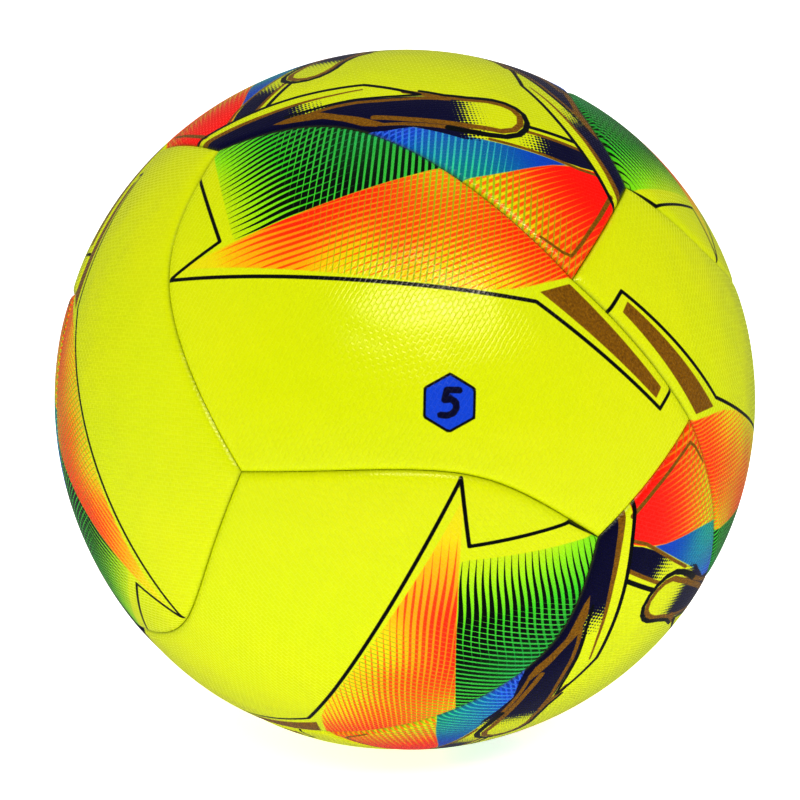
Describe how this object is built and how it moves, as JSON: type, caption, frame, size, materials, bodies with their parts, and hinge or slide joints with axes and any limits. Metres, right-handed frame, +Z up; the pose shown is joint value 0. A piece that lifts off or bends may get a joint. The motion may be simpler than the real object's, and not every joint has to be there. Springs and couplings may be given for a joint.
{
  "type": "soccer ball",
  "caption": "Inflated match ball with stitched, printed cover panels over foam, cloth lining and a rubber bladder with a needle valve.",
  "frame": {"origin": "centre of the ball", "axes": "+Z up as the ball stands in use, +Y out through the valve at the middle of one six-sided panel, -Y through the opposite three-seam corner"},
  "size_m": [0.22, 0.22, 0.22],
  "materials": {
    "five_side_cover": "pebbled polyurethane skin, neon yellow with printed green and orange hatching",
    "six_side_cover": "pebbled polyurethane skin, neon yellow with printed navy and bronze bands",
    "foam": "closed-cell foam",
    "lining": "woven polyester-cotton cloth",
    "thread": "twisted waxed polyester thread",
    "bladder": "moulded butyl rubber",
    "valve_rubber": "moulded butyl rubber",
    "valve_core": "soft moulded rubber",
    "patch_cloth": "rubberised cloth",
    "balance_rubber": "filled rubber sheet"
  },
  "bodies": {
    "root": {"five_side_cover_1": "five_side_cover", "five_side_cover_2": "five_side_cover", "five_side_cover_3": "five_side_cover", "five_side_cover_4": "five_side_cover", "five_side_cover_5": "five_side_cover", "five_side_cover_6": "five_side_cover", "five_side_cover_7": "five_side_cover", "five_side_cover_8": "five_side_cover", "five_side_cover_9": "five_side_cover", "five_side_cover_10": "five_side_cover", "five_side_cover_11": "five_side_cover", "five_side_cover_12": "five_side_cover", "five_side_foam_1": "foam", "five_side_foam_2": "foam", "five_side_foam_3": "foam", "five_side_foam_4": "foam", "five_side_foam_5": "foam", "five_side_foam_6": "foam", "five_side_foam_7": "foam", "five_side_foam_8": "foam", "five_side_foam_9": "foam", "five_side_foam_10": "foam", "five_side_foam_11": "foam", "five_side_foam_12": "foam", "five_side_lining_1": "lining", "five_side_lining_2": "lining", "five_side_lining_3": "lining", "five_side_lining_4": "lining", "five_side_lining_5": "lining", "five_side_lining_6": "lining", "five_side_lining_7": "lining", "five_side_lining_8": "lining", "five_side_lining_9": "lining", "five_side_lining_10": "lining", "five_side_lining_11": "lining", "five_side_lining_12": "lining", "six_side_cover_1": "six_side_cover", "six_side_cover_2": "six_side_cover", "six_side_cover_3": "six_side_cover", "six_side_cover_4": "six_side_cover", "six_side_foam_1": "foam", "six_side_foam_2": "foam", "six_side_foam_3": "foam", "six_side_foam_4": "foam", "six_side_lining_1": "lining", "six_side_lining_2": "lining", "six_side_lining_3": "lining", "six_side_lining_4": "lining", "thread_long_seams": "thread", "thread_wave_seams": "thread", "thread_short_seams": "thread", "thread_straight_seams": "thread", "bladder": "bladder", "valve_flange": "bladder", "valve_housing": "valve_rubber", "valve_core": "valve_core", "valve_patch": "patch_cloth", "balance_patch": "balance_rubber"}
  },
  "joints": []
}
